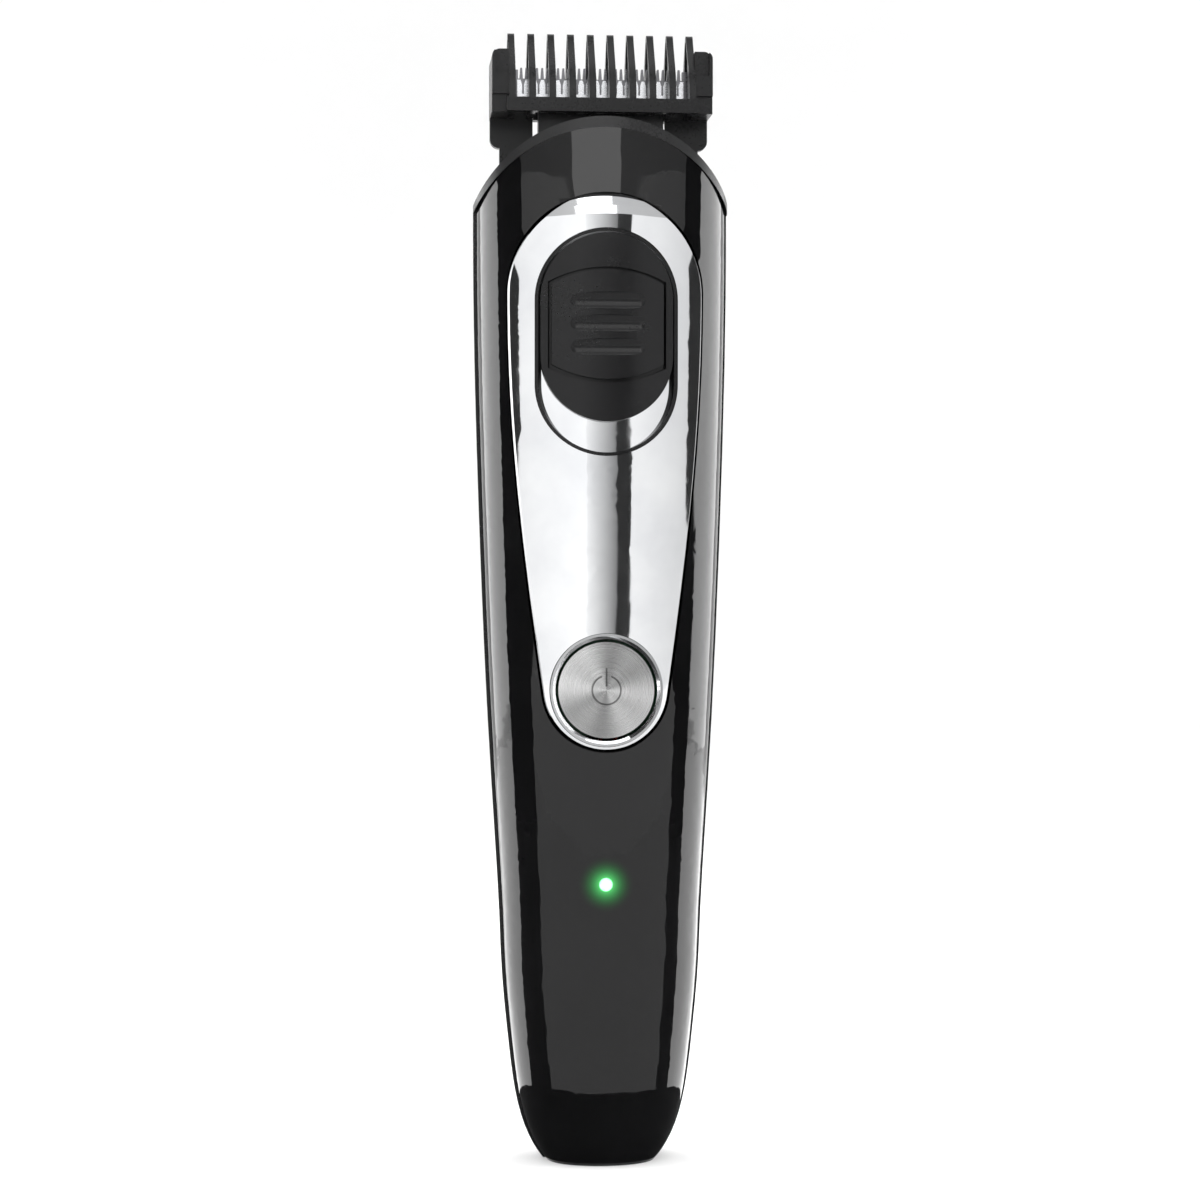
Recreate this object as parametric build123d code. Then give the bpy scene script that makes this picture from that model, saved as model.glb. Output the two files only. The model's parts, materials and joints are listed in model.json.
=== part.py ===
"""Cordless beard trimmer, standing on its flat base. Millimetres, +Z up, front towards -Y."""

import math
import os

from build123d import *

os.makedirs("parts", exist_ok=True)

# Body
HALF_WIDTH, RIM, WALL = 20.0, 0.45, 2.0
DOME_R, DOME_Z = 22.3, 139.6
SEAM_R, SEAM_Z = 22.76, 137.4
TOP = 166.0
MOUTH_X, MOUTH_FRONT, MOUTH_BACK = 17.6, 6.1, 5.9
ANGLES = [0, 3, 7, 13, 21, 33, 50, 70]

# Chrome trim, length slider and power button
TRIM_TOP_R, TRIM_TOP_Z = 15.2, 134.85
TRIM_LOW_R, TRIM_LOW_Z = 9.9, 74.1
SLOT_R, SLOT_TOP_Z, SLOT_LOW_Z = 10.5, 133.6, 120.7
SLIDER_R, SLIDER_LOW_Z, TRAVEL = 10.2, 125.1, 4.1
BUTTON_R, BUTTON_Z = 7.4, 73.75
LIGHT_R, LIGHT_Z = 1.0, 43.8

# Comb and blades
TEETH, TOOTH_PITCH, TOOTH_T = 10, 3.13, 1.05
COMB_LOW, COMB_TIP = 163.6, 176.6
BLADE_HALF, BLADE_TIP, BLADE_ROOT = 13.9, 171.2, 169.5
FINE_TEETH, FINE_PITCH = 31, 0.86
CUTTER_HALF, CUTTER_TOP, CUTTER_PITCH, CUTTER_SLOTS = 13.1, 169.2, 1.22, 21

# Drive
MOTOR_R, MOTOR_FLAT, MOTOR_Y, MOTOR_LOW, MOTOR_HIGH = 7.6, 6.2, 0.5, 106.0, 132.0
SHAFT_R, THROW = 1.0, 0.7
CELL_R, CELL_Y, CELL_LOW, CELL_HIGH = 7.0, 0.6, 14.0, 62.0


def save(shape, name):
    export_step(shape, f"parts/{name}.step")


def half_width(z):
    return HALF_WIDTH - 4.9 * (max(0, 142 - z) / 116.7) ** 1.6 - 4.3 * math.exp(-z / 5.8)


def front_depth(z):
    low = 2.6 * (max(0, 135 - z) / 110) ** 1.5 + 1.1 * math.exp(-z / 5.8)
    return 12.6 - low - 0.9 * (max(0, z - 135) / 28) ** 2


def back_depth(z):
    return 10.4 + 4.2 * math.exp(-(((z - 108) / 44) ** 2)) - 2.5 * math.exp(-z / 5.8)


def curve_at(z, inset, side, narrow=0.0):
    """Front (side -1) or back (side 1) half of the horizontal section, a superellipse."""
    across = half_width(z) - inset - narrow
    depth, power = (front_depth(z), 2.5) if side < 0 else (back_depth(z), 2.2)
    points = []
    for angle in ANGLES + [90] + [180 - angle for angle in reversed(ANGLES)]:
        t = math.radians(angle)
        reach = side * (depth - inset) * max(0.0, math.sin(t)) ** (2 / power)
        points.append((-side * across * math.cos(t), 0.0 if angle in (0, 180) else reach, z))
    return Spline(*points)


def levels(low, high):
    return [low] + [z for z in (2, 5, 10, 18, 36, 66, 100, 128, 146) if low + 0.9 < z < high - 5] + [high]


def half_body(inset, side, low=0.0, high=TOP, narrow=0.0, over=0.0):
    """Half of the body, closed in the seam plane or a little past it."""
    sections = []
    for z in levels(low, high):
        curve = curve_at(z, inset, side, narrow)
        first, last = curve @ 0, curve @ 1
        past = Vector(0, -side * over, 0)
        close = Polyline(last, last + past, first + past, first) if over else Line(last, first)
        sections.append(make_face(Wire([curve] + close.edges())))
    return loft(sections)


def full_body(inset, low=0.0, high=TOP):
    return loft([
        make_face(Wire([curve_at(z, inset, -1), curve_at(z, inset, 1)])) for z in levels(low, high)
    ])


def block(x0, x1, y0, y1, z0, z1):
    return Pos((x0 + x1) / 2, (y0 + y1) / 2, (z0 + z1) / 2) * Box(x1 - x0, y1 - y0, z1 - z0)


def rod(x, y, z0, z1, r):
    return Pos(x, y, (z0 + z1) / 2) * Cylinder(r, z1 - z0)


def pin_y(x, y0, y1, z, r):
    """Cylinder along Y."""
    return Pos(x, (y0 + y1) / 2, z) * Rot(90, 0, 0) * Cylinder(r, y1 - y0)


def pin_x(x0, x1, y, z, r):
    return Pos((x0 + x1) / 2, y, z) * Rot(0, 90, 0) * Cylinder(r, x1 - x0)


def dome(r, z):
    """Upright slab with a round top, extruded through the body."""
    return pin_y(0, -30, 30, z, r) + block(-30, 30, -30, 30, -1, z - 0.55 * r) + block(
        -r, r, -30, 30, z - 0.6 * r, z
    )


def prism(outline, y0=-24.0, y1=-4.0):
    """Front-view outline (drawn in x, z) made solid from depth y0 to depth y1."""
    face = make_face(Plane.XZ * outline)
    return extrude(Pos(0, y1, 0) * face, y1 - y0, dir=(0, -1, 0))


def stadium(r, low, high):
    """Upright slot outline with round ends centred at heights low and high."""
    sides = Line((r, low), (r, high)) + ThreePointArc((r, high), (0, high + r), (-r, high))
    return sides + Line((-r, high), (-r, low)) + ThreePointArc((-r, low), (0, low - r), (r, low))


def teardrop(grow):
    """Outline of the chrome trim: a large round head flowing into the button ring."""
    big, small, turn = TRIM_TOP_R + grow, TRIM_LOW_R + grow, math.radians(8)
    low = (small * math.cos(turn), TRIM_LOW_Z - small * math.sin(turn))
    middle = (13.35 + grow, 101.0)
    end = (-math.sin(turn), -math.cos(turn))
    right = Spline((big, TRIM_TOP_Z), middle, low, tangents=[(0, -1), end])
    left = Spline(
        (-low[0], low[1]), (-middle[0], 101.0), (-big, TRIM_TOP_Z), tangents=[(end[0], -end[1]), (0, 1)]
    )
    head = ThreePointArc((-big, TRIM_TOP_Z), (0, TRIM_TOP_Z + big), (big, TRIM_TOP_Z))
    foot = ThreePointArc(low, (0, TRIM_LOW_Z - small), (-low[0], low[1]))
    return head + right + foot + left


def front_skin(outer, inner, low=50.0, high=160.0):
    """Layer that follows the front face, between two depths below it."""
    return half_body(outer, -1, low, high) - half_body(inner, -1, low - 1, high + 1, over=0.5)


# Shells and collar
mouth = block(-MOUTH_X, MOUTH_X, -MOUTH_FRONT, MOUTH_BACK, 146, 170)
mouth = fillet(mouth.edges().filter_by(Axis.Z), 3.0)
under_seam = dome(SEAM_R, SEAM_Z)


def cavity(side):
    return half_body(WALL, side, WALL, TOP + 2, over=0.5) & dome(SEAM_R - WALL, SEAM_Z)


socket_way = block(-4.05, 4.05, -1.55, 1.55, -1, 3)
shell_front = (half_body(0, -1, narrow=RIM) & under_seam) - cavity(-1) - mouth
shell_front = shell_front - (prism(teardrop(0.12)) - half_body(1.1, -1, 40, 164))
track_seat = prism(stadium(11.35, SLOT_LOW_Z, SLOT_TOP_Z)) - half_body(1.75, -1, 40, 164)
stem_way = block(-2.5, 2.5, -14, -6, 121.9, 136.6)
shell_front = shell_front - track_seat - stem_way
shell_front = shell_front - pin_y(0, -14, -5, BUTTON_Z, 8.8) - pin_y(0, -14, -5, LIGHT_Z, 1.05)
shell_front = shell_front - socket_way - block(-30, 30, -0.12, 1, -1, 170)
save(shell_front, "front_shell")

shell_rear = (half_body(0, 1) & under_seam) - cavity(1) - mouth - socket_way
grip_zone = prism(stadium(9.5, 40.0, 112.0), 4, 24)
shell_rear = shell_rear - (grip_zone - half_body(0.9, 1, 20, 150))
case_screws = [(9.0, 4.0), (133.0, 8.4)]
for z, _ in case_screws:
    shell_rear = shell_rear - pin_y(0, back_depth(z) - 1.1, 20, z, 2.1) - pin_y(0, 6.0, 20, z, 1.05)
save(shell_rear, "rear_shell")

grip = (prism(stadium(9.35, 40.0, 112.0), 4, 24) & half_body(-0.35, 1, 24, 146)) - half_body(
    0.75, 1, 20, 150, over=0.5)
for i in range(13):
    grip = grip - (pin_x(-7.0 + 0.25 * abs(i - 6), 7.0 - 0.25 * abs(i - 6), 0, 46 + 5 * i, 0.9).moved(
        Pos(0, back_depth(46 + 5 * i) + 0.75, 0)))
save(grip, "rear_grip")

collar = (full_body(0, 120, TOP) - under_seam) & dome(DOME_R, DOME_Z)
collar = collar - block(-30, 30, -30, 30, 100, 147.5) - mouth
save(collar, "top_collar")

# Chrome trim with its wide upper bevel
trim = front_skin(-0.45, 0.6) & prism(teardrop(0))
bevel = loft([
    Plane.XZ.offset(11.2) * Pos(0, TRIM_TOP_Z + 0.2) * Circle(16.2),
    Plane.XZ.offset(13.3) * Pos(0, TRIM_TOP_Z - 1.2) * Circle(12.6),
])
upper = block(-20, 20, -20, -11.2, TRIM_TOP_Z - 1.5, 160)
trim = trim - (upper - bevel)
trim = trim - prism(stadium(SLOT_R + 0.55, SLOT_LOW_Z, SLOT_TOP_Z)) - pin_y(0, -20, -4, BUTTON_Z, 8.75)
face = [f for f in trim.faces().sort_by(SortBy.AREA)[-3:] if f.normal_at(f.center()).Y < 0][-1]
save(chamfer(face.outer_wire().edges(), 0.45, 0.95), "chrome_trim")

liner = prism(stadium(SLOT_R + 0.5, SLOT_LOW_Z, SLOT_TOP_Z)) - prism(stadium(SLOT_R, SLOT_LOW_Z, SLOT_TOP_Z))
save((liner & half_body(-0.3, -1, 50, 160)) - half_body(0.6, -1, 40, 164, over=0.5), "slot_liner")

track = front_skin(0.75, 1.65) & prism(stadium(11.25, SLOT_LOW_Z, SLOT_TOP_Z))
save(track - stem_way, "slider_track")

ring = pin_y(0, -11.85, -9.4, BUTTON_Z, 8.68) - pin_y(0, -13, -8, BUTTON_Z, 7.85)
ring = chamfer(ring.edges().filter_by(GeomType.CIRCLE).group_by(Axis.Y)[0].sort_by(SortBy.RADIUS)[0], 0.45)
save(ring, "button_ring")

# Length slider: oval base with the stem, and a grooved grip pad on top
slider = (half_body(-1.1, -1, 90, 160) - half_body(0.45, -1, 89, 161)) & prism(
    stadium(SLIDER_R, SLIDER_LOW_Z, SLOT_TOP_Z)
)


def pad_outline(grow):
    side, low, high, bow = 8.6 + grow, 123.6 - grow, 135.8 + grow, 2.25
    top = ThreePointArc((-side, high), (0, high + bow), (side, high))
    bottom = ThreePointArc((side, low), (0, low - bow), (-side, low))
    return top + Line((side, high), (side, low)) + bottom + Line((-side, low), (-side, high))


slider = slider - (prism(pad_outline(0.5)) - half_body(-0.4, -1, 90, 160))
stem = block(-2.0, 2.0, -12.6, -8.4, 126.4, 136.2) & half_body(0.5, -1, 90, 160)
stem = stem + (block(-2.0, 2.0, -12.6, -11.0, 126.4, 136.2) & half_body(0.0, -1, 90, 160))
slider = slider + stem - pin_y(0, -11.5, -8, 131.3, 0.9)
save(slider, "length_slider")

pad = (half_body(-1.95, -1, 90, 160) - half_body(-0.5, -1, 89, 161)) & prism(pad_outline(0))
for z in (133.3, 129.8, 126.2):
    scoop = pin_x(-4.9, 4.9, -16.0, z, 1.75) + Pos(-4.9, -16.0, z) * Sphere(1.75)
    pad = pad - (scoop + Pos(4.9, -16.0, z) * Sphere(1.75)).moved(Pos(0, 0.35, 0))
save(pad, "slider_pad")

# Carriage: front plate, ring round the motor, two arms up to the comb
CARRIAGE_Y = -8.4
carriage = block(-9.5, 9.5, CARRIAGE_Y, -7.2, 120, 141)
for s in (-1, 1):
    wing = make_face(Polyline(
        (9.3 * s, -8.4), (14.2 * s, -4.6), (15.2 * s, -4.6), (15.2 * s, 5.2),
        (13.8 * s, 5.2), (13.8 * s, -3.9), (9.3 * s, -7.2), close=True,
    ))
    carriage = carriage + extrude(Pos(0, 0, 134.5) * wing, 6.0, dir=(0, 0, 1))
    low, high = sorted((11.0 * s, 15.2 * s))
    carriage = carriage + block(low, high, 3.9, 5.2, 134.5, 157.5)
carriage = carriage - pin_y(0, -9, -6, 131.3, 1.0) - block(-6.2, 6.2, -8.6, -7.7, 120.5, 125)
save(carriage, "comb_carriage")
head = pin_y(0, -7.2, -6.3, 131.3, 1.8) - block(-1.2, 1.2, -6.6, -6.2, 131.0, 131.6)
save(head + pin_y(0, -11.0, -7.2, 131.3, 0.9), "carriage_screw")
rack = block(-3.0, 3.0, -8.4, -7.75, 120.6, 124.9)
for i in range(4):
    rack = rack - pin_x(-4, 4, -8.6, 121.3 + 1.03 * i, 0.35)
save(rack, "detent_rack")

# Guide comb
def comb_tooth(x):
    """Plate in the YZ plane: an arch over the blade with a rounded tip."""
    outer = Line((-5.6, COMB_LOW), (-5.6, COMB_LOW + 2.2))
    outer += Spline((-5.6, COMB_LOW + 2.2), (-3.7, 171.4), (-0.7, 176.1), tangents=[(0, 1), (0.5, 1)])
    outer += ThreePointArc((-0.7, 176.1), (0.1, COMB_TIP), (0.9, 176.1))
    outer += Spline((0.9, 176.1), (3.6, 171.4), (5.4, COMB_LOW + 2.2), tangents=[(0.5, -1), (0, -1)])
    outer += Polyline((5.4, COMB_LOW + 2.2), (5.4, COMB_LOW), (1.6, COMB_LOW), (1.6, 172.0), (0.85, 175.1))
    outer += ThreePointArc((0.85, 175.1), (0.15, 175.65), (-0.6, 175.1))
    outer += Polyline((-0.6, 175.1), (-2.3, 172.0), (-2.3, COMB_LOW), (-5.6, COMB_LOW))
    face = make_face(Plane.YZ * outer)
    return extrude(Pos(x - TOOTH_T / 2, 0, 0) * face, TOOTH_T, dir=(1, 0, 0))


comb = block(-15.0, 15.0, -5.6, -4.0, COMB_LOW, COMB_LOW + 2.15)
comb = comb + block(-15.0, 15.0, 3.4, 5.4, COMB_LOW, COMB_LOW + 3.2)
for i in range(TEETH):
    comb = comb + comb_tooth((i - (TEETH - 1) / 2) * TOOTH_PITCH)
for s in (-1, 1):
    ear = prism(
        Polyline((14.55 * s, COMB_LOW), (14.55 * s, 173.4), (16.0 * s, 173.4))
        + ThreePointArc((16.0 * s, 173.4), (16.9 * s, 173.0), (17.25 * s, 172.1))
        + Polyline((17.25 * s, 172.1), (17.25 * s, COMB_LOW), (14.55 * s, COMB_LOW)), -5.2, 5.0
    )
    ear = ear - block(*sorted((14.5 * s, 16.75 * s)), -6, -4.3, 169.5, 174)
    ear = ear - block(*sorted((14.5 * s, 18 * s)), -6, -4.6, 162, 166.3)
    leg = prism(
        Polyline((17.25 * s, COMB_LOW + 0.5), (17.25 * s, 160.4))
        + ThreePointArc((17.25 * s, 160.4), (16.8 * s, 159.3), (15.75 * s, 158.9))
        + Polyline((15.75 * s, 158.9), (15.75 * s, 150.0), (15.0 * s, 149.0), (11.3 * s, 149.0),
                   (10.5 * s, 150.0), (10.5 * s, COMB_LOW + 0.5), (17.25 * s, COMB_LOW + 0.5)),
        2.2, 3.6,
    )
    comb = comb + ear + leg
    comb = comb - block(*sorted((12.4 * s, 13.8 * s)), 2.9, 4.3, 152.5, 154.5)
save(comb, "guide_comb")

# Blade cartridge
base = block(-10, 10, -3.4, 3.2, 148.0, 159.0) - block(-4.4, 4.4, -1.7, 1.7, 147, 160)
base = base - block(-8.3, 8.3, -1.15, -0.2, 155.8, 160)
neck = block(-9.8, 9.8, 0.65, 1.3, 159.0, 166.0) + block(-9.8, -8.7, -1.0, -0.35, 159.0, 164.2)
neck = neck + block(8.7, 9.8, -1.0, -0.35, 159.0, 164.2)
neck = neck + block(-9.8, -8.7, -0.35, 0.65, 159.0, 160.4) + block(8.7, 9.8, -0.35, 0.65, 159.0, 160.4)
base = base + (neck - block(-4.4, 4.4, -1.7, 1.7, 147, 160.3))
for s in (-1, 1):
    base = base - pin_y(7.3 * s, -4, 1.3, 156.4, 0.7) - pin_y(7.3 * s, -4, -2.6, 156.4, 1.3)
save(base, "cartridge_body")
cover = block(-9.8, 9.8, -1.9, -1.02, 159.1, 164.3)
save(fillet(cover.edges().group_by(Axis.Z)[-1].filter_by(Axis.X).group_by(Axis.Y)[0], 0.5), "cartridge_cover")
for i, s in enumerate((-1, 1)):
    screw = pin_y(7.3 * s, -3.3, -2.65, 156.4, 1.2) + pin_y(7.3 * s, -2.65, 0.8, 156.4, 0.65)
    screw = screw - block(7.3 * s - 0.9, 7.3 * s + 0.9, -3.4, -3.0, 156.25, 156.55)
    save(screw, f"cartridge_screw_{i + 1}")


def blade_plate(half, low, shoulder, high, narrow, y0, y1):
    return block(-half, half, y0, y1, shoulder, high) + block(-narrow, narrow, y0, y1, low, shoulder)


fixed = blade_plate(BLADE_HALF, 160.5, 166.1, BLADE_ROOT, 9.8, -0.3, 0.6)
for i in range(FINE_TEETH):
    x = (i - (FINE_TEETH - 1) / 2) * FINE_PITCH * 0.965
    fixed = fixed + prism(Polyline(
        (x - 0.29, BLADE_ROOT - 0.3), (x - 0.14, BLADE_TIP), (x + 0.14, BLADE_TIP),
        (x + 0.29, BLADE_ROOT - 0.3), close=True,
    ), -0.3, 0.6)
for s in (-1, 1):
    fixed = fixed + block(*sorted((12.95 * s, 13.9 * s)), -0.3, 0.6, BLADE_ROOT - 0.3, BLADE_TIP - 0.3)
save(fixed, "fixed_blade")

cutter = blade_plate(CUTTER_HALF, 157.6, 166.3, CUTTER_TOP, 7.5, -0.95, -0.34)
for i in range(CUTTER_SLOTS):
    x = (i - (CUTTER_SLOTS - 1) / 2) * CUTTER_PITCH
    cutter = cutter - prism(Polyline(
        (x - 0.42, CUTTER_TOP + 0.1), (x - 0.15, CUTTER_TOP - 0.75), (x - 0.15, CUTTER_TOP - 2.2),
        (x + 0.15, CUTTER_TOP - 2.2), (x + 0.15, CUTTER_TOP - 0.75), (x + 0.42, CUTTER_TOP + 0.1), close=True,
    ), -2.0, 0.0)
for s in (-1, 1):
    cutter = cutter - pin_y(1.8 * s, -2, 1, 158.6, 0.5)
save(cutter, "moving_cutter")

yoke = block(-3.2, 3.2, -1.35, 1.35, 144.6, 157.4) + block(-3.2, 3.2, -0.34, 1.35, 157.4, 159.6)
yoke = yoke - block(-2.05, 2.05, -1.5, 1.5, 144, 150.5) - pin_y(1.8, -2, 2, 158.6, 0.5) - pin_y(-1.8, -2, 2, 158.6, 0.5)
save(yoke - block(-1.0, 1.0, -1.5, 1.5, 152.5, 155.5), "cutter_yoke")
for i, s in enumerate((-1, 1)):
    rivet = pin_y(1.8 * s, -0.99, 1.3, 158.6, 0.5)
    save(rivet, f"yoke_rivet_{i + 1}")

# Motor and eccentric
can = rod(0, MOTOR_Y, MOTOR_LOW, MOTOR_HIGH, MOTOR_R) & block(
    -10, 10, MOTOR_Y - MOTOR_FLAT, MOTOR_Y + MOTOR_FLAT, 100, 140
)
can = can + rod(0, MOTOR_Y, MOTOR_HIGH, MOTOR_HIGH + 1.4, 2.8)
bore = rod(0, MOTOR_Y, 90, 140, SHAFT_R + 0.05)
save(can - bore, "motor_can")
cap = rod(0, MOTOR_Y, MOTOR_LOW - 3.5, MOTOR_LOW, MOTOR_R) & block(
    -10, 10, MOTOR_Y - MOTOR_FLAT, MOTOR_Y + MOTOR_FLAT, 100, 140
)
cap = cap + rod(0, MOTOR_Y, MOTOR_LOW - 5.0, MOTOR_LOW - 3.5, 2.2) - bore
for i, s in enumerate((-1, 1)):
    tab = block(4.6 * s - 0.9, 4.6 * s + 0.9, 0.3, 0.7, MOTOR_LOW - 7.5, MOTOR_LOW - 2.5)
    cap = cap - block(4.6 * s - 0.9, 4.6 * s + 0.9, 0.3, 0.7, MOTOR_LOW - 4, MOTOR_LOW - 2.5)
    save(tab, f"motor_terminal_{i + 1}")
save(cap, "motor_end_cap")
save(rod(0, MOTOR_Y, MOTOR_LOW - 5.5, 138.5, SHAFT_R), "motor_shaft")
weight = rod(0, MOTOR_Y, 134.0, 138.5, 3.1) - rod(0, MOTOR_Y, 133, 139, SHAFT_R)
weight = weight - block(-4, 4, MOTOR_Y + 1.6, MOTOR_Y + 4, 134.6, 137.4)
weight = weight + rod(0, MOTOR_Y, 138.5, 139.6, 2.2)
save(weight, "eccentric")
save(rod(0, MOTOR_Y - THROW, 139.6, 147.6, 0.6), "drive_pin")
for i, z in enumerate((108.6, 117.0)):
    damper = rod(0, MOTOR_Y, z, z + 2.4, MOTOR_R + 1.0) & block(
        -10, 10, MOTOR_Y - MOTOR_FLAT - 0.9, MOTOR_Y + MOTOR_FLAT + 0.3, 100, 140
    )
    hole = rod(0, MOTOR_Y, z - 1, z + 4, MOTOR_R) & block(
        -10, 10, MOTOR_Y - MOTOR_FLAT, MOTOR_Y + MOTOR_FLAT, 100, 140
    )
    save(damper - hole, f"motor_damper_{i + 1}")

# Chassis: backbone with cradle plates and the cartridge socket
chassis = block(-6.5, 6.5, 7.05, 8.4, 66, 147.7)
for z in (112.0, 122.5):
    rib = block(-11.5, 11.5, -3.6, 8.4, z, z + 1.8)
    chassis = chassis + (rib - rod(0, MOTOR_Y, z - 1, z + 3, MOTOR_R + 0.05))
platform = block(-10.2, 10.2, -4.6, 8.4, 146.0, 147.7) - rod(0, MOTOR_Y, 145, 149, 4.6)
chassis = chassis + platform + block(-8.5, 8.5, 2.6, 7.1, 64.6, 66.0)
save(chassis, "inner_chassis")
for i, (z, deep) in enumerate(case_screws):
    outside = back_depth(z)
    screw = pin_y(0, outside - 1.1, outside - 0.25, z, 1.9) + pin_y(0, deep, outside - 1.1, z, 1.0)
    screw = screw - block(-1.2, 1.2, outside - 0.7, 20, z - 0.25, z + 0.25)
    screw = screw - block(-0.25, 0.25, outside - 0.7, 20, z - 1.2, z + 1.2)
    save(screw, f"case_screw_{i + 1}")

# Power button and electronics
button = pin_y(0, -11.9, -9.4, BUTTON_Z, BUTTON_R) & Pos(0, 48.3, BUTTON_Z) * Sphere(60)
button = button + pin_y(0, -9.4, -8.6, BUTTON_Z, 3.0)
symbol = pin_y(0, -13, -11.55, BUTTON_Z, 2.55) - pin_y(0, -14, -11, BUTTON_Z, 2.2)
symbol = symbol - block(-0.75, 0.75, -14, -11, BUTTON_Z, BUTTON_Z + 4)
symbol = symbol + block(-0.17, 0.17, -13, -11.55, BUTTON_Z + 0.6, BUTTON_Z + 3.9)
save(button - symbol, "power_button")
board = block(-8.5, 8.5, -5.2, -4.0, 66.5, 100.0)
save(board, "circuit_board")
save(block(-3, 3, -7.0, -5.2, BUTTON_Z - 3, BUTTON_Z + 3) + pin_y(0, -7.6, -7.0, BUTTON_Z, 1.6), "push_switch")
save(block(-3.4, 3.4, -4.0, -3.0, 82, 88), "charge_chip")
save(pin_x(-4.5, 4.5, -2.1, 77.0, 1.9), "capacitor")
save(block(-6.0, -3.6, -6.0, -5.2, 90, 93), "motor_driver")
lens = pin_y(0, -10.75, -8.75, LIGHT_Z, LIGHT_R) & Pos(0, -8.0, LIGHT_Z) * Sphere(2.75)
save(lens + pin_y(0, -8.75, -8.5, LIGHT_Z, 1.0) + pin_y(0, -8.5, -8.2, LIGHT_Z, 1.7), "light_lens")
save(block(-3.5, 3.5, -7.6, -6.9, 40, 49), "light_board")
save(block(-0.8, 0.8, -8.1, -7.6, LIGHT_Z - 0.8, LIGHT_Z + 0.8), "light_chip")

cell = rod(0, CELL_Y, CELL_LOW, CELL_HIGH, CELL_R)
save(fillet(cell.edges(), 0.6) + rod(0, CELL_Y, CELL_HIGH, CELL_HIGH + 0.8, 2.6), "battery_cell")
save(block(-2.2, 2.2, CELL_Y - 2.2, CELL_Y + 2.2, CELL_HIGH + 0.8, CELL_HIGH + 1.05), "cell_tab_plus")
strap = block(-2.2, 7.35, CELL_Y - 1.5, CELL_Y + 1.5, CELL_LOW - 0.25, CELL_LOW)
save(strap + block(7.1, 7.35, CELL_Y - 1.5, CELL_Y + 1.5, CELL_LOW - 0.25, 64.0), "cell_strap")

jack = block(-4.0, 4.0, -1.5, 1.5, 0.4, 7.5)
save(jack - block(-3.6, 3.6, -1.1, 1.1, -1, 6.8), "socket_shell")
save(block(-2.6, 2.6, -0.3, 0.3, 1.2, 6.8), "socket_tongue")
save(block(-5.5, 5.5, -3.6, 3.4, 7.5, 8.7), "socket_board")


def lead(name, points, radii, r=0.35):
    path = FilletPolyline(*points, radius=radii)
    save(sweep(Plane(origin=path @ 0, z_dir=path % 0) * Circle(r), path=path), name)


lead("cell_lead", [(0, -0.6, 63.05), (0, -0.6, 67.5), (0, -2.2, 70.0), (0, -4.0, 70.0)], [1.2, 1.2])
for i, s in enumerate((-1, 1)):
    lead(f"motor_lead_{i + 1}", [(4.6 * s, 0.5, 98.5), (4.6 * s, 0.5, 96.4), (4.6 * s, -1.6, 94.2),
                                 (4.6 * s, -4.0, 94.2)], [1.2, 1.2])
    lead(f"light_lead_{i + 1}", [(2.0 * s, -7.25, 49.0), (2.0 * s, -7.25, 61.0), (2.0 * s, -4.6, 64.2),
                                 (2.0 * s, -4.6, 66.5)], [1.8, 1.8])
    lead(f"charge_lead_{i + 1}", [(4.5 * s, 0.0, 8.7), (4.5 * s, 0.0, 10.6), (8.8 * s, -1.2, 13.6),
                                  (8.8 * s, -1.2, 60.0), (7.2 * s, -4.6, 64.0), (7.2 * s, -4.6, 66.5)],
         [1.2, 1.8, 1.8, 1.2])
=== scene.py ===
import json
import math

import bpy
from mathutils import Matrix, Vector

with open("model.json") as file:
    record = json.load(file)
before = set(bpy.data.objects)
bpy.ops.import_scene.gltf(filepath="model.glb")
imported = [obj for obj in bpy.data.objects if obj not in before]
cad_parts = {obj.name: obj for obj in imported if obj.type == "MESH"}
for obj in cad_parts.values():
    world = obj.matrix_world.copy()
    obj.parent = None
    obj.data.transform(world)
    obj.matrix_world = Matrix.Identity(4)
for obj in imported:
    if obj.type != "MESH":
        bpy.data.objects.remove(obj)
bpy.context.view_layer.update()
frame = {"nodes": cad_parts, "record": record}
NODES = frame["nodes"]

# Camera: level, a little to the left of straight on
AZIMUTH, DISTANCE, EYE_Z = math.radians(-5.0), 0.45, 0.0876
camera = bpy.data.objects.new("camera", bpy.data.cameras.new("camera"))
bpy.context.collection.objects.link(camera)
camera.data.sensor_width, camera.data.lens = 36.0, 85.7
camera.data.clip_start = 0.01
camera.location = (math.sin(AZIMUTH) * DISTANCE, -math.cos(AZIMUTH) * DISTANCE, EYE_Z)
camera.rotation_euler = (math.pi / 2, 0, AZIMUTH)
bpy.context.scene.camera = camera


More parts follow.
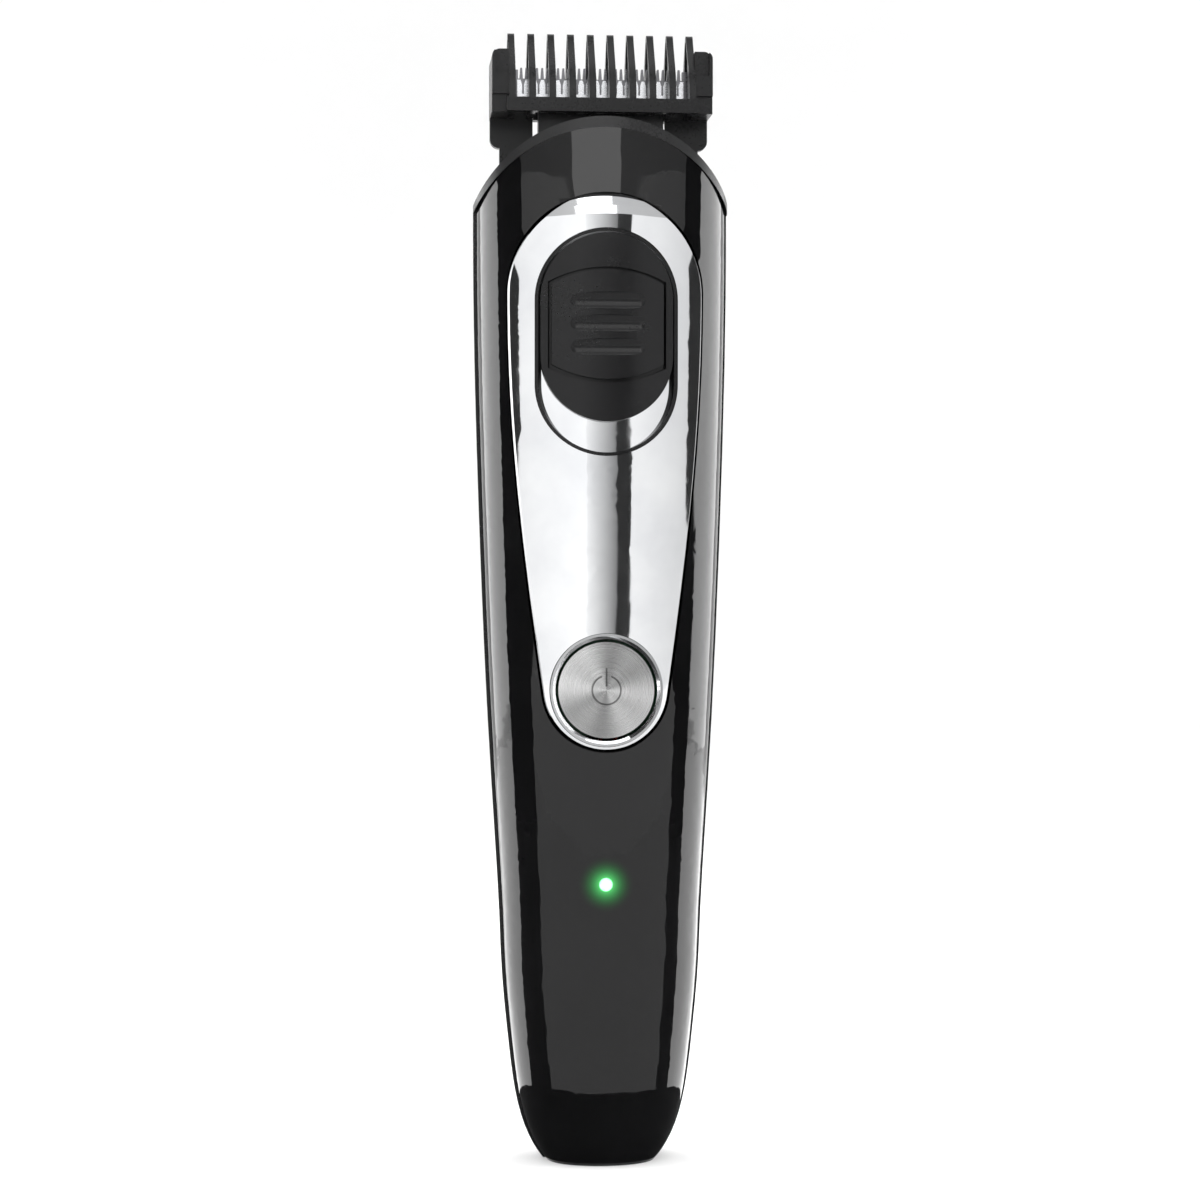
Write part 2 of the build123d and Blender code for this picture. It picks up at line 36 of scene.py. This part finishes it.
class Nodes:
    """Short hand for building one material's node tree."""

    def __init__(self, name):
        self.m = bpy.data.materials.new(name)
        self.m.use_nodes = True
        self.t = self.m.node_tree
        self.s = self.t.nodes["Principled BSDF"]
        self.coords = self.t.nodes.new("ShaderNodeTexCoord").outputs["Object"]

    def link(self, source, target):
        self.t.links.new(source, target)

    def stretch(self, scale):
        node = self.t.nodes.new("ShaderNodeMapping")
        node.inputs["Scale"].default_value = scale
        self.link(self.coords, node.inputs["Vector"])
        return node.outputs["Vector"]

    def noise(self, scale, detail=4.0, stretch=(1, 1, 1), vector=None):
        node = self.t.nodes.new("ShaderNodeTexNoise")
        node.inputs["Scale"].default_value = scale
        node.inputs["Detail"].default_value = detail
        self.link(vector or self.stretch(stretch), node.inputs["Vector"])
        return node.outputs["Fac"]

    def span(self, value, low, high, start=0.0, end=1.0):
        node = self.t.nodes.new("ShaderNodeMapRange")
        for key, number in (("From Min", start), ("From Max", end), ("To Min", low), ("To Max", high)):
            node.inputs[key].default_value = number
        self.link(value, node.inputs["Value"])
        return node.outputs["Result"]

    def math(self, kind, a, b=None):
        node = self.t.nodes.new("ShaderNodeMath")
        node.operation = kind
        for slot, value in zip(node.inputs, (a, b)):
            if value is None:
                continue
            if isinstance(value, (int, float)):
                slot.default_value = value
            else:
                self.link(value, slot)
        return node.outputs[0]

    def mix(self, factor, a, b):
        node = self.t.nodes.new("ShaderNodeMix")
        node.data_type = "RGBA"
        if isinstance(factor, (int, float)):
            node.inputs[0].default_value = factor
        else:
            self.link(factor, node.inputs[0])
        for slot, value in ((node.inputs[6], a), (node.inputs[7], b)):
            if isinstance(value, tuple):
                slot.default_value = (*value, 1.0)
            else:
                self.link(value, slot)
        return node.outputs[2]

    def distance(self, centre, flat=(1, 1, 1)):
        """Distance from a point in the object's own space, in metres."""
        move = self.t.nodes.new("ShaderNodeMapping")
        move.inputs["Location"].default_value = [-c * f for c, f in zip(centre, flat)]
        move.inputs["Scale"].default_value = flat
        self.link(self.coords, move.inputs["Vector"])
        length = self.t.nodes.new("ShaderNodeVectorMath")
        length.operation = "LENGTH"
        self.link(move.outputs["Vector"], length.inputs[0])
        return length.outputs["Value"]

    def bump(self, height, strength, depth):
        node = self.t.nodes.new("ShaderNodeBump")
        node.inputs["Strength"].default_value = strength
        node.inputs["Distance"].default_value = depth
        self.link(height, node.inputs["Height"])
        self.link(node.outputs["Normal"], self.s.inputs["Normal"])

    def done(self, **values):
        for key, value in values.items():
            self.s.inputs[key.replace("_", " ")].default_value = value
        return self.m


def plastic(name, dark, light, rough, spread, grain, depth, patches=70.0, **values):
    """Moulded plastic: faint colour drift, fine grain, handled patches that are a little shinier."""
    n = Nodes(name)
    drift, fine = n.noise(patches, 5.0), n.noise(grain, 3.0)
    n.link(n.mix(n.span(drift, 0, 1, 0.3, 0.7), dark, light), n.s.inputs["Base Color"])
    handled, mottle = n.span(drift, 0.75, 1.25, 0.3, 0.7), n.span(fine, 1 - spread, 1 + spread, 0.3, 0.7)
    wear = n.math("MULTIPLY", handled, mottle)
    n.link(n.math("MULTIPLY", wear, rough), n.s.inputs["Roughness"])
    n.bump(fine, 1.0, depth)
    return n.done(**values)


def metal(name, dark, light, rough, stretch, scale, depth, **values):
    """Brushed or ground metal: streaks along one direction in colour, roughness and height."""
    n = Nodes(name)
    streak, smudge = n.noise(scale, 6.0, stretch), n.noise(90.0, 3.0)
    n.link(n.mix(n.span(streak, 0, 1, 0.3, 0.7), dark, light), n.s.inputs["Base Color"])
    both = n.math("MULTIPLY", n.span(streak, 0.8, 1.25, 0.3, 0.7), n.span(smudge, 0.85, 1.2, 0.3, 0.7))
    n.link(n.math("MULTIPLY", both, rough), n.s.inputs["Roughness"])
    n.bump(streak, 1.0, depth)
    return n.done(Metallic=1.0, **values)


def gloss_cover():
    """Polished black cover, with hairlines and the glow of the status light around its lens."""
    n = Nodes("cover_gloss")
    drift, hair = n.noise(60.0, 4.0), n.noise(900.0, 5.0, (1, 1, 0.06))
    n.link(n.mix(n.span(drift, 0, 1, 0.3, 0.7), (0.0022, 0.0022, 0.0024), (0.0042, 0.0042, 0.0045)),
           n.s.inputs["Base Color"])
    n.link(n.math("ADD", n.span(drift, 0.02, 0.045, 0.3, 0.7), n.span(hair, 0.0, 0.03, 0.55, 0.75)),
           n.s.inputs["Roughness"])
    n.bump(drift, 1.0, 0.0000004)
    reach = n.distance((0, 0, LIGHT_Z), (1, 0, 1))
    glow = n.math("POWER", n.span(reach, 1.0, 0.0, 0.0009, 0.0046), 2.4)
    n.link(n.mix(glow, (0.0, 0.42, 0.06), (0.12, 0.95, 0.22)), n.s.inputs["Emission Color"])
    n.link(n.math("MULTIPLY", glow, 0.75), n.s.inputs["Emission Strength"])
    return n.done(IOR=1.5)


def chrome():
    n = Nodes("chrome_mirror")
    smear, hair = n.noise(110.0, 4.0), n.noise(1500.0, 4.0, (1, 1, 0.05))
    n.link(n.mix(n.span(smear, 0, 1, 0.3, 0.7), (0.80, 0.81, 0.83), (0.90, 0.91, 0.92)),
           n.s.inputs["Base Color"])
    n.link(n.math("ADD", n.span(smear, 0.03, 0.07, 0.3, 0.7), n.span(hair, 0.0, 0.03, 0.5, 0.8)),
           n.s.inputs["Roughness"])
    n.bump(smear, 1.0, 0.0000004)
    return n.done(Metallic=1.0)


def spun():
    """Aluminium from the lathe: fine rings round the button's centre, with painted highlight wedges that
    lighten and darken it by angle.
    """
    n = Nodes("button_spun")
    reach = n.distance((0, 0, BUTTON_Z), (1, 0, 1))
    ring = n.t.nodes.new("ShaderNodeCombineXYZ")
    n.link(reach, ring.inputs[0])
    rings = n.noise(9000.0, 4.0, vector=ring.outputs[0])
    wide = n.noise(900.0, 2.0, vector=ring.outputs[0])
    place = n.t.nodes.new("ShaderNodeSeparateXYZ")
    n.link(n.coords, place.inputs[0])
    # Painted highlight: broad and narrow wedges by angle round the button's centre lighten and darken its
    # colour
    angle = n.math("ARCTAN2", n.math("SUBTRACT", place.outputs[2], BUTTON_Z), place.outputs[0])
    highlight_wedge = n.math("COSINE", n.math("ADD", n.math("MULTIPLY", angle, 2.0), 0.9))
    narrow_highlight = n.math("COSINE", n.math("ADD", n.math("MULTIPLY", angle, 6.0), 0.4))
    painted_highlight_wedges = n.span(n.math("ADD", highlight_wedge, n.math("MULTIPLY", narrow_highlight, 0.45)), 0.0, 1.0, -1.3, 1.3)
    rings_and_painted_highlight = n.math("MULTIPLY", n.span(rings, 0.85, 1.1, 0.3, 0.7), n.span(painted_highlight_wedges, 0.42, 1.0))
    across = n.math("ABSOLUTE", place.outputs[0])
    above = n.math("SUBTRACT", place.outputs[2], BUTTON_Z)
    loop = n.math("LESS_THAN", n.math("ABSOLUTE", n.math("SUBTRACT", reach, 0.0022)), 0.00014)
    gap = n.math("MULTIPLY", n.math("LESS_THAN", across, 0.0007), n.math("GREATER_THAN", above, 0.0))
    bar = n.math("MULTIPLY", n.math("LESS_THAN", across, 0.00014),
                 n.math("LESS_THAN", n.math("ABSOLUTE", n.math("SUBTRACT", above, 0.002)), 0.0014))
    mark = n.math("MAXIMUM", n.math("MULTIPLY", loop, n.math("SUBTRACT", 1.0, gap)), bar)
    rings_and_painted_highlight = n.math("MULTIPLY", rings_and_painted_highlight, n.span(mark, 1.0, 0.35))
    grey = n.t.nodes.new("ShaderNodeCombineXYZ")
    for slot in grey.inputs:
        n.link(n.math("MULTIPLY", rings_and_painted_highlight, 0.72), slot)
    n.link(grey.outputs[0], n.s.inputs["Base Color"])
    n.link(n.math("MULTIPLY", n.span(rings, 0.22, 0.34, 0.3, 0.7), n.span(wide, 0.9, 1.15, 0.3, 0.7)),
           n.s.inputs["Roughness"])
    n.bump(n.math("ADD", rings, wide), 1.0, 0.00003)
    tangent = n.t.nodes.new("ShaderNodeTangent")
    tangent.direction_type, tangent.axis = "RADIAL", "Y"
    n.link(tangent.outputs[0], n.s.inputs["Tangent"])
    return n.done(Metallic=1.0, Anisotropic=0.75)


def lens():
    n = Nodes("status_lens")
    reach = n.distance((0, 0, LIGHT_Z), (1, 0, 1))
    cell = n.noise(2500.0, 2.0)
    core = n.math("POWER", n.span(reach, 1.0, 0.0, 0.0, 0.0011), 0.7)
    n.link(n.mix(core, (0.1, 0.9, 0.25), (0.7, 1.0, 0.75)), n.s.inputs["Emission Color"])
    n.link(n.math("MULTIPLY", n.span(cell, 0.9, 1.1, 0.3, 0.7), 1.5), n.s.inputs["Emission Strength"])
    n.link(n.mix(cell, (0.2, 0.7, 0.3), (0.4, 0.9, 0.5)), n.s.inputs["Base Color"])
    n.link(n.span(cell, 0.12, 0.25), n.s.inputs["Roughness"])
    return n.done()


BUTTON_Z, LIGHT_Z = 0.07375, 0.0438
LOOKS = {
    "gloss_black": gloss_cover(),
    "satin_black": plastic("shell_satin", (0.006, 0.006, 0.0065), (0.01, 0.01, 0.0105),
        0.3, 0.15, 2600, 0.00001,
                           Specular_IOR_Level=0.32),
    "grip_rubber": plastic("rubber_grip", (0.009, 0.009, 0.009), (0.014, 0.014, 0.014),
        0.7, 0.1, 3200, 0.00003,
                           Specular_IOR_Level=0.3),
    "collar_grey": plastic("collar_satin", (0.012, 0.012, 0.0125), (0.018, 0.018, 0.0185),
        0.34, 0.12, 2600, 0.000006,
                           Specular_IOR_Level=0.35),
    "chrome": chrome(),
    "slider_black": plastic("slider_satin", (0.005, 0.005, 0.0055), (0.009, 0.009, 0.0095),
        0.24, 0.15, 2600, 0.000006,
                            Specular_IOR_Level=0.3),
    "spun_aluminium": spun(),
    "status_light": lens(),
    "comb_black": plastic("comb_moulded", (0.007, 0.007, 0.0075), (0.011, 0.011, 0.0115),
        0.3, 0.15, 1800, 0.000006,
                          Specular_IOR_Level=0.25),
    "inner_plastic": plastic("frame_plastic", (0.02, 0.02, 0.021), (0.035, 0.035, 0.037),
        0.5, 0.15, 1800, 0.00003),
    "white_plastic": plastic("acetal", (0.62, 0.61, 0.58), (0.74, 0.73, 0.7), 0.4, 0.15, 1800, 0.00003),
    "steel": metal("plain_steel", (0.42, 0.42, 0.43), (0.6, 0.6, 0.62), 0.3, (1, 1, 12), 600, 0.00002),
    "blade_steel": metal("blade_ground", (0.6, 0.61, 0.63), (0.72, 0.73, 0.75),
        0.24, (1, 1, 14), 900, 0.0000015),
    "brass": metal("turned_brass", (0.62, 0.46, 0.2), (0.78, 0.6, 0.3), 0.28, (1, 1, 12), 600, 0.00002),
    "nickel": metal("nickel_strip", (0.5, 0.49, 0.46), (0.66, 0.65, 0.62), 0.3, (12, 1, 1), 600, 0.00002),
    "board_green": plastic("board_lacquer", (0.01, 0.1, 0.035), (0.02, 0.16, 0.06), 0.3, 0.15, 1500, 0.00003),
    "cell_wrap": plastic("cell_film", (0.02, 0.08, 0.3), (0.03, 0.12, 0.4), 0.25, 0.15, 900, 0.00004),
    "lead_jacket": plastic("lead_cover", (0.3, 0.02, 0.02), (0.42, 0.04, 0.03), 0.45, 0.1, 2200, 0.00003),
}
SLOTS = {part["node"]: part["material_slot"] for part in frame["record"]["subparts"]}
for name, obj in NODES.items():
    obj.data.materials.clear()
    obj.data.materials.append(LOOKS[SLOTS[name]])
    if SLOTS[name] == "lead_jacket" and name.endswith("_1"):
        obj.data.materials[0] = LOOKS["satin_black"]
# The fixed blade gets a darker copy of the ground blade steel
NODES["fixed_blade"].data.materials[0] = metal(
    "blade_ground_darker", (0.16, 0.16, 0.17), (0.22, 0.22, 0.23), 0.3, (1, 1, 14), 900, 0.0000015)


# Studio: pale sweep, soft boxes on both sides, in front and overhead, and cards seen only in reflections
def stage_mesh(name, points, faces, colour, glow=0.0):
    """Mesh that belongs to the studio and not to the object."""
    mesh = bpy.data.meshes.new(name)
    mesh.from_pydata(points, [], faces)
    obj = bpy.data.objects.new(name, mesh)
    bpy.context.collection.objects.link(obj)
    n = Nodes(name)
    drift = n.noise(3.0, 3.0)
    tint = tuple(min(1.0, c * 1.02) for c in colour)
    n.link(n.mix(drift, colour, tint), n.s.inputs["Base Color"])
    mesh.materials.append(n.done(Roughness=0.9, Emission_Color=(1, 1, 1, 1), Emission_Strength=glow))
    for polygon in mesh.polygons:
        polygon.use_smooth = True
    return obj


def reflections_only(obj):
    obj.visible_camera = obj.visible_diffuse = obj.visible_shadow = obj.visible_transmission = False


def sweep_floor():
    """Floor disc that curves up into a round wall far behind the object on every side."""
    flat, bend, top, turns = 1.2, 0.5, 2.4, 64
    arc = [i * math.pi / 16 for i in range(1, 9)]
    profile = [(flat, 0.0)]
    profile += [(flat + bend * math.sin(a), bend - bend * math.cos(a)) for a in arc]
    profile += [(flat + bend, top)]
    points = [(r * math.cos(2 * math.pi * k / turns), r * math.sin(2 * math.pi * k / turns), z)
              for r, z in profile for k in range(turns)]
    faces = [list(range(turns))]
    for row in range(len(profile) - 1):
        for k in range(turns):
            a, b = row * turns + k, row * turns + (k + 1) % turns
            faces.append([b, a, a + turns, b + turns])
    stage_mesh("sweep", points, faces, (0.86, 0.86, 0.86))


sweep_floor()


AIM = Vector((0, 0, 0.09))


def softbox(name, azimuth, elevation, away, size, power):
    data = bpy.data.lights.new(name, "AREA")
    data.shape, data.size, data.size_y = "RECTANGLE", size[0], size[1]
    data.energy = power
    obj = bpy.data.objects.new(name, data)
    bpy.context.collection.objects.link(obj)
    a, e = math.radians(azimuth), math.radians(elevation)
    obj.location = AIM + away * Vector((math.sin(a) * math.cos(e), -math.cos(a) * math.cos(e), math.sin(e)))
    obj.rotation_euler = (AIM - obj.location).to_track_quat("-Z", "Y").to_euler()
    obj.visible_camera = False
    return obj


for name, azimuth, elevation, away, size, power in (
        ("side_left", -110, 8, 0.62, (0.66, 1.0), 7.6), ("side_right", 102, 8, 0.62, (0.66, 1.0), 7.6),
        ("overhead", 180, 80, 1.9, (2.2, 2.2), 20.0)):
    softbox(name, azimuth, elevation, away, size, power)
for name, azimuth in (("front_left", -30), ("front_right", 34)):
    softbox(name, azimuth, 10, 0.95, (0.6, 0.9), 1.3).visible_glossy = False


def even(level):
    return (level, level, level)


def card(name, first, last, away, low, high, colours):
    """Upright card round the object that only shows in reflections, shaded from one edge to the other."""
    ends = [(away * math.sin(math.radians(a)), -away * math.cos(math.radians(a))) for a in (first, last)]
    points = [(*ends[0], low), (*ends[1], low), (*ends[1], high), (*ends[0], high)]
    obj = stage_mesh(name, points, [[0, 1, 2, 3]], even(0.01))
    n = Nodes(name + "_shade")
    side = n.t.nodes.new("ShaderNodeSeparateXYZ")
    n.link(n.coords, side.inputs[0])
    shade = n.span(side.outputs[0], 0.0, 1.0, ends[0][0], ends[1][0])
    n.link(n.mix(shade, *colours), n.s.inputs["Emission Color"])
    n.s.inputs["Emission Strength"].default_value = 1.0
    obj.data.materials[0] = n.done(Base_Color=(0.0, 0.0, 0.0, 1.0), Roughness=0.9)
    reflections_only(obj)


# Azimuths, in degrees, where the front glow ends and the dark flags end, on the left and on the right
GLOW_LEFT, GLOW_RIGHT, FLAG_LEFT, FLAG_RIGHT = -48, 54, -82, 73
FLAG_AWAY, GLOW_AWAY = 0.36, 0.50
BASE, STEP, CROWN, TOP = 0.0005, 0.036, 0.25, 0.9
DARK = even(0.004)
for name, first, last, away, bottom, top, colours in (
        ("flag_left", FLAG_LEFT, GLOW_LEFT, FLAG_AWAY, BASE, TOP, (DARK, DARK)),
        ("flag_right", GLOW_RIGHT, FLAG_RIGHT, FLAG_AWAY, BASE, TOP, (DARK, DARK)),
        ("front_left_low", GLOW_LEFT, GLOW_RIGHT, GLOW_AWAY, BASE, STEP, (even(0.9), even(0.9))),
        ("glow_left", GLOW_LEFT, -5, GLOW_AWAY, STEP, CROWN, (even(0.95), even(1.15))),
        ("glow_fade", -5, 10, GLOW_AWAY, STEP, CROWN, (even(1.0), even(0.2))),
        ("flag_stripe", 10, 17, GLOW_AWAY, STEP, CROWN, (DARK, DARK)),
        ("glow_right", 17, GLOW_RIGHT, GLOW_AWAY, STEP, CROWN, (even(1.0), even(0.72))),
        ("top_left", GLOW_LEFT, -12, GLOW_AWAY, CROWN, TOP, (even(0.45), even(0.6))),
        ("top_centre", -12, 12, GLOW_AWAY, CROWN, TOP, (even(2.3), even(2.3))),
        ("top_right", 12, GLOW_RIGHT, GLOW_AWAY, CROWN, TOP, (even(0.6), even(0.45)))):
    card(name, first, last, away, bottom, top, colours)


def floor_card(name, first, last, inner, outer, level):
    """Flat sector round the base, under the same rules as the upright cards."""
    steps = max(2, (last - first) // 6)
    turn = [math.radians(first + (last - first) * k / steps) for k in range(steps + 1)]
    points = [(r * math.sin(a), -r * math.cos(a), 0.0004) for a in turn for r in (inner, outer)]
    faces = [[2 * k, 2 * k + 1, 2 * k + 3, 2 * k + 2] for k in range(steps)]
    obj = stage_mesh(name, points, faces, even(0.003), level)
    reflections_only(obj)


MAT_R = 0.045
for name, first, last, inner, outer, level in (
        ("mat", 0, 360, 0.0, MAT_R, 0.0),
        ("mat_left", FLAG_LEFT, GLOW_LEFT, MAT_R, FLAG_AWAY, 0.0),
        ("mat_right", GLOW_RIGHT, FLAG_RIGHT, MAT_R, FLAG_AWAY, 0.0),
        ("mat_front", GLOW_LEFT, GLOW_RIGHT, MAT_R, GLOW_AWAY, 0.78),
        ("mat_side_left", -150, FLAG_LEFT, MAT_R, 0.6, 3.4),
        ("mat_side_right", FLAG_RIGHT, 150, MAT_R, 0.6, 3.4)):
    floor_card(name, first, last, inner, outer, level)

bpy.context.scene.view_settings.view_transform = "Standard"
world = bpy.data.worlds.new("studio")
bpy.context.scene.world = world
world.use_nodes = True
world.node_tree.nodes["Background"].inputs[0].default_value = (1, 1, 1, 1)
world.node_tree.nodes["Background"].inputs[1].default_value = 0.55
